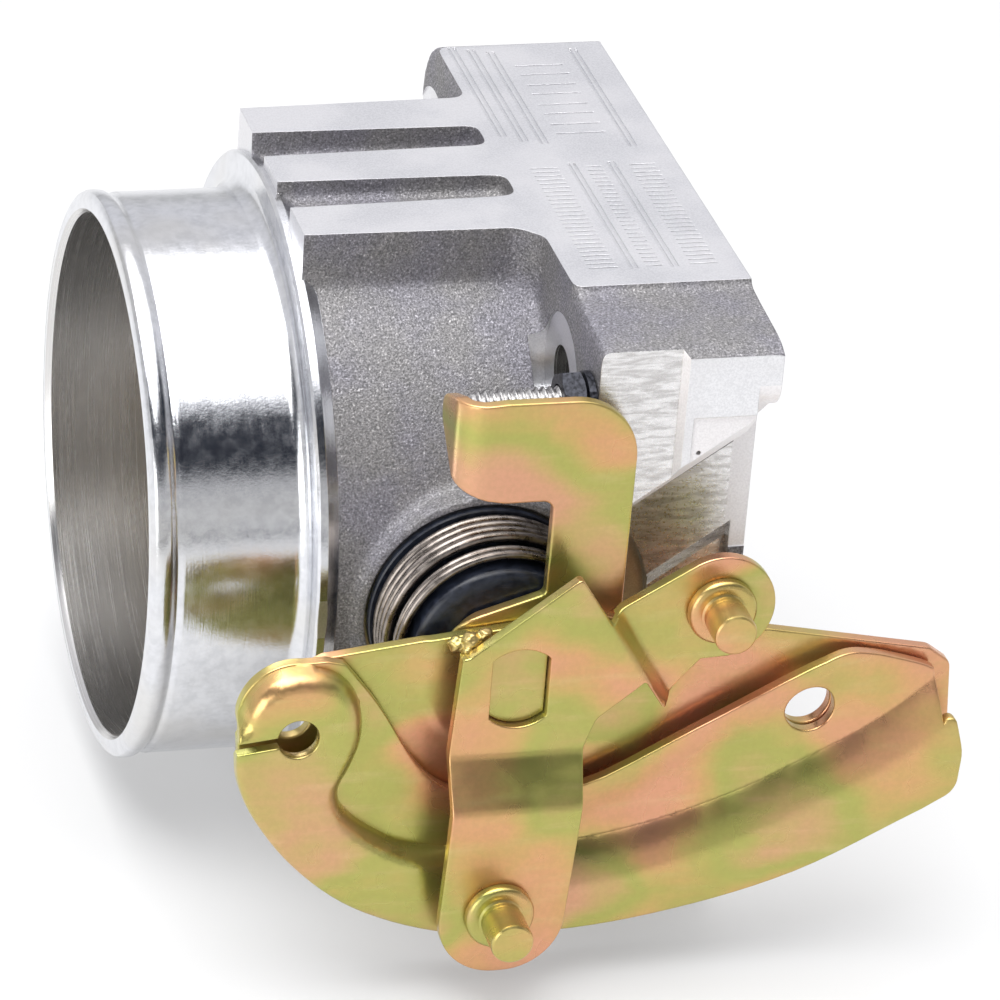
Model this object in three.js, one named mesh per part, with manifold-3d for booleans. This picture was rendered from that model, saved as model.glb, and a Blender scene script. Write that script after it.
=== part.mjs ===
// Cable-operated throttle body, 75 mm bore, with a rolled cable quadrant and two return springs.
// Millimetres. X runs along the bore (inlet at -X, manifold face at X = 0), Y along the throttle
// shaft (levers on the -Y side), Z up. The origin is the centre of the outlet in the manifold face.
import * as THREE from "three";
import { mergeVertices } from "three/addons/utils/BufferGeometryUtils.js";
import Module from "manifold-3d";

const wasm = await Module();
wasm.setup();

// ---- driving dimensions ----
const BORE_R = 37.5; // 75 mm bore
const LENGTH = 84.4; // manifold face to inlet rim
const NECK_R = 41.5; // hose neck
const MOUTH_R = 38.7; // turned inlet mouth
const SHOULDER_X = -61.6; // machined shoulder behind the neck
const SHOULDER_R = 47;
const CAST_R = 46; // cast barrel behind the shoulder
const FLANGE_X = -26; // back face of the flange block
const TOP_Z = 48.5; // milled top plane
const RIB_LEFT_X = -60.4;
const WAIST_Y = 50.5; // half width of the flange between its ears
const EAR_Y = 59.6; // half width over the ears
const PAD_Y = 41; // lever side edge of the milled top pad
const BOLT_Y = 38.5;
const BOLT_Z = 33;
const BOLT_R = 4.2;
const SPOT_R = 9; // spot face round each bolt

const SHAFT_X = -37.4; // throttle shaft axis, at Z = 0
const SHAFT_R = 6;
const BOSS_R = 18.2;
const BOSS_Y = -46.9; // lever side boss face
const FAR_PAD_Y = 52; // sensor pad face
const GAP = 0.15; // half of the clearance left between touching pieces
const FLAT = 3.95; // half width over the flats of the double-D shaft end

const SHEET = 1.9; // lever sheet thickness
const ARM_Y = -60.1; // rear faces of the four lever levels
const REAR_Y = -62.15;
const WEB_Y = -64.2;
const RIM_Y = -67.7;
const STRIP_Y = -72.7;

const STOP_Y = -54.5; // idle stop screw axis
const STOP_Z = 37;
const STOP_TIP_X = -44.1;
const STOP_R = 2.4;
const STOP_PITCH = 1.06;

const BEARING = { inner: 6.15, outer: 12, width: 5, front: -43.6, back: 38.6 };

// ---- materials ----
const paint = (color, roughness, metalness) =>
  new THREE.MeshStandardMaterial({ color, roughness, metalness });
const castAluminium = paint(0xa9abb0, 0.45, 0.9);
const goldZinc = paint(0xc2a862, 0.35, 0.85);
const steel = paint(0x9a958c, 0.35, 0.9);
const blackOxide = paint(0x2a2d33, 0.45, 0.6);
const brass = paint(0xb08d4a, 0.4, 0.9);
const nylon = paint(0x14171f, 0.5, 0.0);
const rubber = paint(0x1b1b1c, 0.8, 0.0);
const bearingSteel = paint(0xb8bbc0, 0.25, 1.0);

// ---- solids: three.js geometry in, manifold-3d booleans, three.js geometry out ----
const UNIT = { X: [1, 0, 0], Y: [0, 1, 0], Z: [0, 0, 1] };
const basis = (...axes) => {
  const [x, y, z] = axes.map((a) => new THREE.Vector3(...UNIT[a]));
  return new THREE.Matrix4().makeBasis(x, y, z);
};
const YZX = basis("Y", "Z", "X"); // outline in (Y, Z), depth along X
const ZXY = basis("Z", "X", "Y"); // turned profile about X
const XZ = new THREE.Matrix4().makeRotationX(Math.PI / 2); // outline in (X, Z), depth towards -Y

function solid(geometry, matrix = new THREE.Matrix4()) {
  const bare = new THREE.BufferGeometry().setAttribute(
    "position",
    (geometry.index ? geometry.toNonIndexed() : geometry).getAttribute("position").clone(),
  );
  bare.applyMatrix4(matrix);
  const merged = mergeVertices(bare, 1e-4);
  const vertProperties = new Float32Array(merged.attributes.position.array);
  const triVerts = new Uint32Array(merged.index.array);
  const build = () => new wasm.Manifold(new wasm.Mesh({ numProp: 3, vertProperties, triVerts }));
  const made = build();
  if (made.volume() > 0) return made;
  for (let i = 0; i < triVerts.length; i += 3) {
    [triVerts[i + 1], triVerts[i + 2]] = [triVerts[i + 2], triVerts[i + 1]];
  }
  return build();
}

const join = (...solids) => solids.reduce((a, b) => a.add(b));
const cut = (first, ...tools) => tools.reduce((a, b) => a.subtract(b), first);

function geometryOf(made) {
  const mesh = made.getMesh();
  const geometry = new THREE.BufferGeometry();
  geometry.setAttribute("position", new THREE.BufferAttribute(mesh.vertProperties, 3));
  geometry.setIndex(new THREE.BufferAttribute(mesh.triVerts, 1));
  geometry.computeVertexNormals();
  return geometry;
}

const throttleBody = new THREE.Group();
function add(name, made, material) {
  const mesh = new THREE.Mesh(geometryOf(made), material);
  mesh.name = name;
  throttleBody.add(mesh);
}

// An outline whose corners are [x, y] or [x, y, radius].
function outline(corners) {
  const at = (i) => corners[(i + corners.length) % corners.length];
  const points = corners.flatMap((corner, i) => {
    const here = new THREE.Vector2(corner[0], corner[1]);
    const radius = corner[2] || 0;
    if (!radius) return [here];
    const back = new THREE.Vector2(at(i - 1)[0], at(i - 1)[1]).sub(here);
    const on = new THREE.Vector2(at(i + 1)[0], at(i + 1)[1]).sub(here);
    const half = Math.acos(back.clone().normalize().dot(on.clone().normalize())) / 2;
    const reach = Math.min(radius / Math.tan(half), back.length() * 0.48, on.length() * 0.48);
    const turn = Math.PI - 2 * half;
    if (reach < 0.2 || turn < 0.1) return [here];
    const start = here.clone().add(back.setLength(reach));
    const end = here.clone().add(on.setLength(reach));
    return arc(new THREE.QuadraticBezierCurve(start, here, end), half, Math.ceil(turn / 0.22));
  });
  return new THREE.Shape(points);
}

// Points of the circular arc that touches both legs of a corner with half angle `half`.
function arc(bend, half, steps) {
  const weight = Math.sin(half);
  return Array.from({ length: steps + 1 }, (_, i) => {
    const t = i / steps;
    const [a, b, c] = [(1 - t) ** 2, 2 * weight * t * (1 - t), t ** 2];
    const point = bend.v0.clone().multiplyScalar(a);
    point.addScaledVector(bend.v1, b).addScaledVector(bend.v2, c);
    return point.divideScalar(a + b + c);
  });
}

const extrude = (shape, depth, matrix) =>
  solid(new THREE.ExtrudeGeometry(shape, { depth, bevelEnabled: false, curveSegments: 12 }), matrix);
const alongX = (shape, from, to) => extrude(shape, to - from, YZX).translate([from, 0, 0]);
const sheet = (shape, back, front = back - SHEET) =>
  extrude(shape, back - front, XZ).translate([0, back, 0]);
const box = (x, y, z) => {
  const size = [x, y, z].map(([from, to]) => to - from);
  const centre = [x, y, z].map(([from, to]) => (from + to) / 2);
  return solid(new THREE.BoxGeometry(...size)).translate(centre);
};
// A turned solid: profile points are [radius, place along the axis].
const turned = (profile, matrix, segments = 64) => {
  const points = profile.map(([r, along]) => new THREE.Vector2(r, along));
  return solid(new THREE.LatheGeometry(points, segments), matrix);
};
const rodX = (r, from, to, y = 0, z = 0, segments = 32) =>
  turned([[0, from], [r, from], [r, to], [0, to]], ZXY, segments).translate([0, y, z]);
const rodY = (r, from, to, x = SHAFT_X, z = 0, segments = 48) =>
  turned([[0, from], [r, from], [r, to], [0, to]], undefined, segments).translate([x, 0, z]);
const ringY = (inner, outer, from, to, segments = 36) => {
  const profile = [[inner, from], [outer, from], [outer, to], [inner, to], [inner, from]];
  return turned(profile, undefined, segments).translate([SHAFT_X, 0, 0]);
};

// ---- housing ----
function barrel() {
  return turned(
    [
      [0, -LENGTH], [NECK_R - 0.6, -LENGTH], [NECK_R + 0.5, -LENGTH + 1], [NECK_R + 0.5, -LENGTH + 2.6],
      [NECK_R - 0.3, -LENGTH + 3.4], [NECK_R - 0.3, -LENGTH + 4.2], [NECK_R, -LENGTH + 4.8],
      [NECK_R, SHOULDER_X - 1.2], [NECK_R + 1.2, SHOULDER_X], [SHOULDER_R, SHOULDER_X],
      [SHOULDER_R, SHOULDER_X + 1], [CAST_R, SHOULDER_X + 3], [CAST_R, -1], [0, -1],
    ],
    ZXY,
    96,
  );
}

function ribs() {
  return [[12.9, 21.3], [-4, 4.6], [-21.6, -12.7]].map(([near, far]) => {
    const shape = outline([
      [RIB_LEFT_X, near], [RIB_LEFT_X, far], [FLANGE_X + 1, far + 0.7], [FLANGE_X + 1, near - 0.7],
    ]);
    return extrude(shape, TOP_Z - 30).translate([0, 0, 30]);
  });
}

function pocketEnds() {
  return [8.75, -8.35].map((y) => {
    const shape = outline([
      [-30, y - 6], [-30, y - 3.4, 2.4], [-27, y - 3.4], [-27, y + 3.4], [-30, y + 3.4, 2.4], [-30, y + 6],
      [-25, y + 6], [-25, y - 6],
    ]);
    return extrude(shape, TOP_Z - 30).translate([0, 0, 30]);
  });
}

// The flange outline as (Y, Z) corners: an ear on the lever side only, for the stop screw.
const FAR_Y = 46.6; // half width on the far side
function flange() {
  const corners = [
    [-PAD_Y, TOP_Z], [-PAD_Y - 0.4, TOP_Z - 1], [-EAR_Y, TOP_Z - 2.4, 4.5], [-EAR_Y, 38, 4.5],
    [-WAIST_Y, 30.5, 2.5], [-WAIST_Y, -TOP_Z, 5], [FAR_Y, -TOP_Z, 9], [FAR_Y, TOP_Z, 9],
  ];
  return alongX(outline(corners), FLANGE_X, 0);
}

// The stop screw's block on the lever side: its underside is milled on a slant to clear the levers.
function stopBlock() {
  const side = outline([[FLANGE_X, TOP_Z - 3], [0, TOP_Z - 3], [0, 36], [FLANGE_X, 18]]);
  const block = sheet(side, -40, -EAR_Y);
  const length = Math.hypot(26, 18);
  const wedge = new THREE.Shape([
    new THREE.Vector2(-EAR_Y - 1, 2.1), new THREE.Vector2(-WAIST_Y, -6.9), new THREE.Vector2(-EAR_Y - 1, -12),
  ]);
  const slant = extrude(wedge, length + 30, YZX)
    .translate([-15, 0, 0])
    .rotate([0, (-Math.atan2(18, 26) * 180) / Math.PI, 0])
    .translate([FLANGE_X, 0, 18]);
  return block.subtract(slant);
}

function millCuts() {
  const recess = sheet(
    outline([[FLANGE_X - 1, 42.5, 2], [-14, 43.5, 2], [-14, 14], [FLANGE_X - 1, 8]]),
    -EAR_Y + 1.9,
    -EAR_Y - 2,
  );
  const lower = sheet(outline([[-30, -6], [1, 15.5], [1, -60], [-30, -60]]), -48.4, -EAR_Y - 2);
  const swing = join(rodY(24, -EAR_Y - 2, -48.2), rodY(17.8, -49, BOSS_Y));
  return [recess, lower.intersect(box([-30, 1], [-70, -40], [-28, 20])), swing];
}

function bearingPockets() {
  const { outer, width, front, back } = BEARING;
  return [
    rodY(outer + GAP, BOSS_Y - 1, front + width + 0.3),
    rodY(outer + GAP, back - 0.3, FAR_PAD_Y + 1),
    rodY(SHAFT_R + 0.6, BOSS_Y - 1, FAR_PAD_Y + 1),
  ];
}

function farBoss() {
  const pad = outline([
    [SHAFT_X - 16, -23, 6], [SHAFT_X + 16, -23, 6], [SHAFT_X + 16, 23, 6], [SHAFT_X - 16, 23, 6],
  ]);
  return join(rodY(17, 20, FAR_PAD_Y - 3), sheet(pad, FAR_PAD_Y, 30));
}

function housing() {
  const outside = join(
    barrel(), ...ribs(), ...pocketEnds(), flange(), stopBlock(), rodY(BOSS_R, BOSS_Y, -20), farBoss(),
  );
  const bore = turned(
    [
      [0, -LENGTH - 1], [MOUTH_R + 1, -LENGTH - 1], [MOUTH_R, -LENGTH + 0.8], [MOUTH_R, -66],
      [BORE_R, -61], [BORE_R, -1], [BORE_R + 1, 1], [0, 1],
    ],
    ZXY,
    96,
  );
  const bolts = [[1, 1], [1, -1], [-1, 1], [-1, -1]].flatMap(([y, z]) => [
    rodX(BOLT_R, -57, 1, y * BOLT_Y, z * BOLT_Z),
    rodX(SPOT_R, FLANGE_X - 3, FLANGE_X, y * BOLT_Y, z * BOLT_Z),
  ]);
  const sensorHoles = [-17, 17].map((z) => rodY(2.1, FAR_PAD_Y - 9, FAR_PAD_Y + 1, SHAFT_X, z, 20));
  const stopHole = rodX(STOP_R + 0.3, FLANGE_X - 1, FLANGE_X + 16, STOP_Y, STOP_Z);
  const flangeRing = rodY(17.1, BOSS_Y - 1, BOSS_Y + 1.2);
  return cut(
    outside, bore, ...bolts, ...bearingPockets(), ...sensorHoles, stopHole, flangeRing, ...millCuts(),
  );
}

add("throttle_housing", housing(), castAluminium);

// ---- shaft, plate and bearings ----
const PLATE_X = SHAFT_X + 0.3; // the plate lies on the shaft's flat
const PLATE_T = 2;
const SCREW_YS = [-15, 15];

function shaft() {
  const rod = rodY(SHAFT_R, -68.2, 57);
  const blunt = [-1, 1].map((side) =>
    box([SHAFT_X + side * (FLAT + 5) - 5, SHAFT_X + side * (FLAT + 5) + 5], [-80, -59.6], [-10, 10]),
  );
  const tang = [-1, 1].map((side) => box([SHAFT_X - 10, SHAFT_X + 10], [52, 60], [side * 7 - 5, side * 7 + 5]));
  const flat = box([SHAFT_X, SHAFT_X + 8], [-BORE_R - 0.5, BORE_R + 0.5], [-8, 8]);
  const holes = SCREW_YS.map((y) => rodX(2.25, SHAFT_X - 8, SHAFT_X + 1, y, 0, 20));
  const groove = cut(rodY(SHAFT_R + 1, 49.6, 50.8), rodY(SHAFT_R - 0.6, 49, 51));
  return cut(rod, ...blunt, ...tang, flat, ...holes, groove);
}

function plate() {
  const disc = rodX(BORE_R - 0.4, PLATE_X, PLATE_X + PLATE_T, 0, 0, 72);
  return cut(disc, ...SCREW_YS.map((y) => rodX(2.25, PLATE_X - 1, PLATE_X + 4, y, 0, 20)));
}

function plateScrew(y) {
  const head = PLATE_X + PLATE_T + GAP;
  const shank = [[0, SHAFT_X - 5.4], [2, SHAFT_X - 5.4], [2, head]];
  const dome = [[3.6, head], [3.6, head + 0.9], [2.6, head + 1.9], [0, head + 2.2]];
  const body = turned([...shank, ...dome], ZXY, 28).translate([0, y, 0]);
  const slots = [0, 90].map((turn) =>
    box([head + 1.2, head + 4], [-2.2, 2.2], [-0.45, 0.45]).rotate([turn, 0, 0]).translate([0, y, 0]),
  );
  return cut(body, ...slots);
}

add("throttle_shaft", shaft(), steel);
add("throttle_plate", plate(), brass);
SCREW_YS.forEach((y, i) => add(`plate_screw_${i + 1}`, plateScrew(y), steel));

function bearingBalls(from) {
  const middle = from + BEARING.width / 2;
  const cage = ringY(8.75, 9.45, middle - 0.5, middle + 0.5, 36);
  const balls = Array.from({ length: 9 }, (_, i) => {
    const angle = (i * 2 * Math.PI) / 9;
    const place = [SHAFT_X + 9.1 * Math.cos(angle), middle, 9.1 * Math.sin(angle)];
    return solid(new THREE.SphereGeometry(1.15, 8, 6)).translate(place);
  });
  return join(cage, ...balls);
}

for (const [side, from] of [["front", BEARING.front], ["rear", BEARING.back]]) {
  const to = from + BEARING.width;
  add(`${side}_bearing_outer_race`, ringY(10.4, BEARING.outer, from, to), bearingSteel);
  add(`${side}_bearing_inner_race`, ringY(BEARING.inner, 7.8, from, to), bearingSteel);
  add(`${side}_bearing_balls`, bearingBalls(from), bearingSteel);
}
const REAR_SEAL_Y = BEARING.back + BEARING.width + GAP;
add("front_shaft_seal", ringY(SHAFT_R + GAP, 11.9, BEARING.front - 1.4, BEARING.front - GAP), rubber);
add("rear_shaft_seal", ringY(SHAFT_R + GAP, 11.9, REAR_SEAL_Y, REAR_SEAL_Y + 2.6), rubber);

function circlip() {
  const ring = ringY(SHAFT_R - 0.4, SHAFT_R + 2, 49.75, 50.65, 36);
  return cut(ring, box([SHAFT_X, SHAFT_X + 12], [49, 52], [-1.6, 1.6]));
}
add("shaft_circlip", circlip(), blackOxide);

// ---- return springs on their black bushing ----
function bushing() {
  const profile = [
    [SHAFT_R + 0.25, BOSS_Y + 1], [16.6, BOSS_Y + 1], [16.6, BOSS_Y - 0.6], [13.2, BOSS_Y - 0.6],
    [13.2, -58.6], [12.4, -59.6], [SHAFT_R + 0.25, -59.6], [SHAFT_R + 0.25, BOSS_Y + 1],
  ];
  return turned(profile).translate([SHAFT_X, 0, 0]);
}

class Coil extends THREE.Curve {
  constructor(radius, start, pitch, turns, from) {
    super();
    Object.assign(this, { radius, start, pitch, turns, from });
  }
  getPoint(t, target = new THREE.Vector3()) {
    const angle = this.from + t * this.turns * 2 * Math.PI;
    const along = this.start - t * this.turns * this.pitch;
    return target.set(this.radius * Math.cos(angle), along, this.radius * Math.sin(angle));
  }
}

const round = (r, points = 8) =>
  new THREE.Shape(
    Array.from({ length: points }, (_, i) => {
      const angle = (i * 2 * Math.PI) / points;
      return new THREE.Vector2(r * Math.cos(angle), r * Math.sin(angle));
    }),
  );

function spring(wire, radius, start, turns, from, perTurn = 32) {
  const path = new Coil(radius, start, wire * 2 + 0.12, turns, from);
  const steps = Math.round(turns * perTurn);
  const options = { steps, extrudePath: path, bevelEnabled: false };
  return solid(new THREE.ExtrudeGeometry(round(wire), options)).translate([SHAFT_X, 0, 0]);
}

add("spring_bushing", bushing(), nylon);
add("outer_return_spring", spring(0.75, 15.6, -48.4, 3.75, 0.6), steel);
add("inner_return_spring", spring(0.65, 14.6, -55.3, 1.9, 0.3), steel);

// ---- levers: outlines are (X, Z) measured from the shaft axis ----
const doubleD = () => {
  const half = SHAFT_R + 0.2;
  const rod = rodY(half, -80, -55);
  return rod.intersect(box([SHAFT_X - FLAT - 0.2, SHAFT_X + FLAT + 0.2], [-80, -55], [-10, 10]));
};
const lever = (corners, back, front) =>
  sheet(outline(corners), back, front).translate([SHAFT_X, 0, 0]);

function idleStopArm() {
  const arm = lever(
    [
      [-3.2, 40.8], [16.6, 40.8, 10.2], [16.4, 8], [11, -11, 6], [-8.4, -9.5, 6], [-8.4, 6.4, 6],
      [4.9, 10.6, 1], [4.9, 25.2, 2.2], [-3.2, 25.6],
    ],
    ARM_Y,
  );
  const bend = 4.4;
  const tab = alongX(outline([[ARM_Y - SHEET, 25.6], [-51, 33, 2.5], [-51, 39, 2.5], [ARM_Y - SHEET, 40.8]]), -9.1, -7.2);
  const elbow = cut(
    rodZ(bend, 25.6, 40.8, -9.1 + bend, ARM_Y - SHEET + bend),
    rodZ(bend - SHEET, 20, 50, -9.1 + bend, ARM_Y - SHEET + bend),
  ).intersect(box([-20, -9.1 + bend + 0.1], [ARM_Y - SHEET - 1, ARM_Y - SHEET + bend + 0.1], [20, 50]));
  const straight = box([-9.1 + bend, -3], [ARM_Y - SHEET, ARM_Y], [25.6, 40.8]);
  const clear = box([-10, -9.1 + bend], [-70, ARM_Y - SHEET + bend], [0, 60]);
  const hook = join(elbow, straight, tab.subtract(clear)).translate([SHAFT_X, 0, 0]);
  return cut(join(arm, hook), doubleD());
}

function rodZ(r, from, to, x, y) {
  const upright = new THREE.Matrix4().makeRotationX(Math.PI / 2);
  return turned([[0, from], [r, from], [r, to], [0, to]], upright, 40).translate([x, y, 0]);
}

// The outer edge of the quadrant, from the upper end of its head round to its right end.
const quadrantEdge = [
  [-40.2, -16, 14], [-33, -27, 18], [-19, -38, 26], [-4, -41.2, 40], [18, -40.6, 60],
  [40, -35.8, 70], [60, -26.6, 8], [67.4, -21.5, 4], [67, -13],
];
const quadrantHead = [[-23, -7, 7], [-23.2, 4.4, 8.2], [-40.2, 4.4, 8.2]];
const joggle = [
  [64, -5, 0], [52, -13.4, 30], [34, -22, 60], [18, -27, 60], [0, -28.6, 60], [-12, -26, 40], [-20, -21.6, 12],
  [-26.2, -17.6, 3.5], [-25, -12, 6],
];

function rearLever() {
  const inner = quadrantEdge.map(([x, z, r]) => [x * 0.965, z * 0.965, r]);
  const plateEdge = [
    ...inner, [66, -5.5, 3], [61.5, -1, 3], [38, 3.6], [22, 4.6], [12, 8, 4], [-7, 6, 2], [-27, 3.8],
    [-38.8, 3.4, 10],
  ];
  const holes = rodY(3.7, -90, -50, SHAFT_X + 44.4, -8.4, 28);
  const barrelSlot = rodY(3, -90, -50, SHAFT_X - 31.4, -5.9, 28);
  return cut(lever(plateEdge, REAR_Y), doubleD(), holes, barrelSlot);
}

function cableCheek() {
  const web = lever(
    [
      [64.6, -5.8, 2], [50, 0.9, 4], [44, -1, 3], [11.6, -17.9, 14], [-8.6, -17.5, 12], [-20, -2.4, 20],
      [-24.8, 4.2], [-26, -11.5, 6], [-27, -17.6, 4], [-21, -22.6, 12], [-12, -27, 30], [0, -29.6, 60],
      [18, -28, 60], [34, -23, 60], [52, -14.4, 30],
    ],
    WEB_Y,
  );
  const raised = [...quadrantEdge, ...joggle, ...quadrantHead];
  const rim = lever(raised, RIM_Y);
  const wall = lever(raised, WEB_Y, RIM_Y - 0.5).subtract(
    lever(
      [
        ...quadrantEdge.map(([x, z, r]) => [x * 1.2, z * 1.2, r]), [66, -6],
        ...joggle.map(([x, z, r]) => [x, z - 1.9, r]), [-24.9, -7, 5.4], [-25.1, 2.5, 6.4], [-38.4, 2.5, 6.4],
        [-60, -4],
      ],
      WEB_Y + 1,
      RIM_Y + 0.01,
    ),
  );
  const slot = lever([[-45, -7.9], [-31.4, -6.8], [-31.4, -5.3], [-45, -6.4]], -60, -80);
  const holes = rodY(3.7, -90, -50, SHAFT_X + 44.4, -8.4, 28);
  const barrelHole = rodY(3, -90, -50, SHAFT_X - 31.4, -5.9, 28);
  return cut(join(web, rim, wall), slot, holes, barrelHole);
}

const UPPER_PIN = { x: 29.5, z: 9, face: -66.1 };
const LOWER_PIN = { x: -2, z: -33.6, face: -74.6 };

function pinBracket() {
  const centreEdge = [
    [-9.7, 4.9, 1], [-7.5, 5.4], [-3.3, 8.6], [7.8, 17, 0.8], [10.5, 16.6], [20.5, 0.4], [11.5, -5.9, 2],
    [9.8, -10.5], [-9.6, -10.5],
  ];
  const centre = lever(centreEdge, RIM_Y);
  const fold = (back, front) => [
    new THREE.Vector2(RIM_Y - back, -10.3), new THREE.Vector2(RIM_Y - front, -10.3),
    new THREE.Vector2(STRIP_Y - front, -17.4), new THREE.Vector2(STRIP_Y - back, -17.4),
  ];
  const slope = alongX(new THREE.Shape(fold(0, SHEET)), SHAFT_X - 9.7, SHAFT_X + 9.2);
  const strip = lever([[-9.7, -17.2], [-10.6, -43.4, 9.5], [7, -43.4, 9.5], [9.2, -17.2]], STRIP_Y);
  const ear = lever(
    [[13.6, 10.4], [24.9, 15.4], [27, 17, 3], [37.6, 17, 8], [37.6, 1, 8], [24, 1.6, 2], [19, -0.6], [16, 5]],
    WEB_Y,
  );
  const step = lever([[10.2, 16.6], [14.6, 9.4], [19.8, 1], [18.2, -0.4], [8.6, 15.8]], WEB_Y, RIM_Y - SHEET);
  const studs = [UPPER_PIN, LOWER_PIN].map(({ x, z }) => rodY(2.2 + 0.2, -90, -60, SHAFT_X + x, z, 24));
  return cut(join(centre, slope, strip, ear, step), doubleD(), ...studs);
}

function linkPin({ x, z, face }, length) {
  const out = face - GAP;
  const profile = [
    [0, face + 2.1], [2.2, face + 2.1], [2.2, out], [5, out], [5, out - 1.2], [4.5, out - 1.7], [3.1, out - 1.7],
    [2.9, out - 2.4], [3.1, out - 3], [3.1, out - length + 0.6], [2.6, out - length], [0, out - length],
  ];
  return turned(profile, undefined, 36).translate([SHAFT_X + x, 0, z]);
}

add("idle_stop_arm", idleStopArm(), goldZinc);
add("rear_lever_plate", rearLever(), goldZinc);
add("cable_quadrant_cheek", cableCheek(), goldZinc);
add("pin_bracket", pinBracket(), goldZinc);
add("upper_link_pin", linkPin(UPPER_PIN, 7.9), goldZinc);
add("lower_link_pin", linkPin(LOWER_PIN, 8.4), goldZinc);

// ---- idle stop screw ----
function stopScrew() {
  const turns = Math.floor((FLANGE_X + 12 - STOP_TIP_X - 2) / STOP_PITCH);
  const threads = Array.from({ length: turns }, (_, i) => {
    const along = STOP_TIP_X + 1 + i * STOP_PITCH;
    return [[STOP_R - 0.35, along], [STOP_R, along + STOP_PITCH / 2]];
  }).flat();
  const end = threads.at(-1)[1] + STOP_PITCH / 2;
  const profile = [
    [0, STOP_TIP_X], [STOP_R - 0.8, STOP_TIP_X], ...threads, [STOP_R - 0.35, end], [STOP_R - 0.35, end + 1],
    [0, end + 1],
  ];
  return turned(profile, ZXY, 14).translate([0, STOP_Y, STOP_Z]);
}

function hexNut(from, to, across, bore) {
  const radius = across / Math.sqrt(3);
  const corners = Array.from({ length: 6 }, (_, i) => {
    const angle = (i * Math.PI) / 3 + Math.PI / 6;
    return new THREE.Vector2(radius * Math.sin(angle), radius * Math.cos(angle));
  });
  const nut = alongX(new THREE.Shape(corners), from, to).translate([0, STOP_Y, STOP_Z]);
  return nut.subtract(rodX(bore, from - 1, to + 1, STOP_Y, STOP_Z));
}

const washer = () => {
  const hole = rodX(STOP_R + 0.25, -33, -25, STOP_Y, STOP_Z);
  return cut(rodX(4.3, -27.3, -26.3, STOP_Y, STOP_Z), hole);
};

add("idle_stop_screw", stopScrew(), steel);
add("stop_screw_washer", washer(), steel);
add("stop_screw_lock_nut", hexNut(-30.9, -27.6, 8, STOP_R + 0.25), blackOxide);

export default throttleBody;
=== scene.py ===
import math

import bmesh
import bpy
import numpy as np
from mathutils import Matrix, Vector
from mathutils.geometry import delaunay_2d_cdt


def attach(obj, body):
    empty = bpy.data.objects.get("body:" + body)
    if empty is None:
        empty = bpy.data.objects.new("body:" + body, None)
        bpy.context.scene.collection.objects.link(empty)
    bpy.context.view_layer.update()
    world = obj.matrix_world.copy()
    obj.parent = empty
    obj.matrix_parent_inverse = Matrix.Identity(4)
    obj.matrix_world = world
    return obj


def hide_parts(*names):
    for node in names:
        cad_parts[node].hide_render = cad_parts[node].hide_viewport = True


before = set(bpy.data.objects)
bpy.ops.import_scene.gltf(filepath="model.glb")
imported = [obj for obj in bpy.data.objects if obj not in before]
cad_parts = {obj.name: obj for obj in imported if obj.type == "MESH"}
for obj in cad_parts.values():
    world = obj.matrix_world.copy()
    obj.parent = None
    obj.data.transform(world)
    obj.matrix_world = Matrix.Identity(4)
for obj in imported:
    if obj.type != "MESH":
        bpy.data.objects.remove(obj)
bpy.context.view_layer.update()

# ---- driving dimensions, the same as the CAD's ----
BORE_R = 37.5
LENGTH = 84.4
NECK_R = 41.5
MOUTH_R = 38.7
SHOULDER_X = -61.6
SHOULDER_R = 47.0
CAST_R = 46.0
FLANGE_X = -26.0
TOP_Z = 48.5
RIB_X = -60.4
WAIST_Y = 50.5
EAR_Y = 59.6
FAR_Y = 46.6
PAD_Y = 41.0
BOLT_Y, BOLT_Z, BOLT_R, SPOT_R = 38.5, 33.0, 4.2, 9.0
SHAFT_X, SHAFT_R, FLAT = -37.4, 6.0, 3.95
BOSS_R, BOSS_Y, FAR_PAD_Y = 18.2, -46.9, 52.0
SHEET = 1.9
ARM, REAR, WEB, STRIP = -62.0, -64.05, -66.1, -74.6  # front faces of the lever levels
STOP_Y, STOP_Z, STOP_R, STOP_PITCH, STOP_TIP_X = -54.5, 37.0, 2.4, 1.06, -44.1

SWING_R, SWING_Y = 24.0, -48.2  # room that the levers turn in
SPRING_ROOM_R = 17.8
SEAT_R, SEAT_Y = 12.15, 38.3  # bearing seats, the same distance out on both sides
SENSOR_HOLE_R, SENSOR_HOLE_Z = 2.1, 17
NUT_TIP, NUT_FOOT, NUT_FLATS = -30.9, -27.6, 8.0
PIT = (-11.2, 30.4)  # the small pit in the milled end of the stop block

MM = Matrix.Scale(0.001, 4)


# ---- outlines ----
def arc(centre, radius, start, end, step=6.0):
    """Points of a circular arc, angles in degrees."""
    count = max(2, int(abs(end - start) / step) + 1)
    angles = np.radians(np.linspace(start, end, count))
    return [(centre[0] + radius * math.cos(a), centre[1] + radius * math.sin(a)) for a in angles]


def rounded(corners, step=0.12):
    """Corners (x, y) or (x, y, radius) to points, each radius a true arc."""
    points = []
    count = len(corners)
    for i, corner in enumerate(corners):
        here = Vector(corner[:2])
        radius = corner[2] if len(corner) > 2 else 0
        back = Vector(corners[i - 1][:2]) - here
        on = Vector(corners[(i + 1) % count][:2]) - here
        half = back.angle(on) / 2
        turn = math.pi - 2 * half
        if not radius or turn < 0.02:
            points.append(tuple(here))
            continue
        reach = min(radius / math.tan(half), back.length * 0.49, on.length * 0.49)
        a, b = here + back.normalized() * reach, here + on.normalized() * reach
        weight = math.sin(half)
        steps = max(2, math.ceil(turn / step))
        for k in range(steps + 1):
            t = k / steps
            w = ((1 - t) ** 2, 2 * weight * t * (1 - t), t * t)
            points.append(tuple((a * w[0] + here * w[1] + b * w[2]) / sum(w)))
    return points


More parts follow.
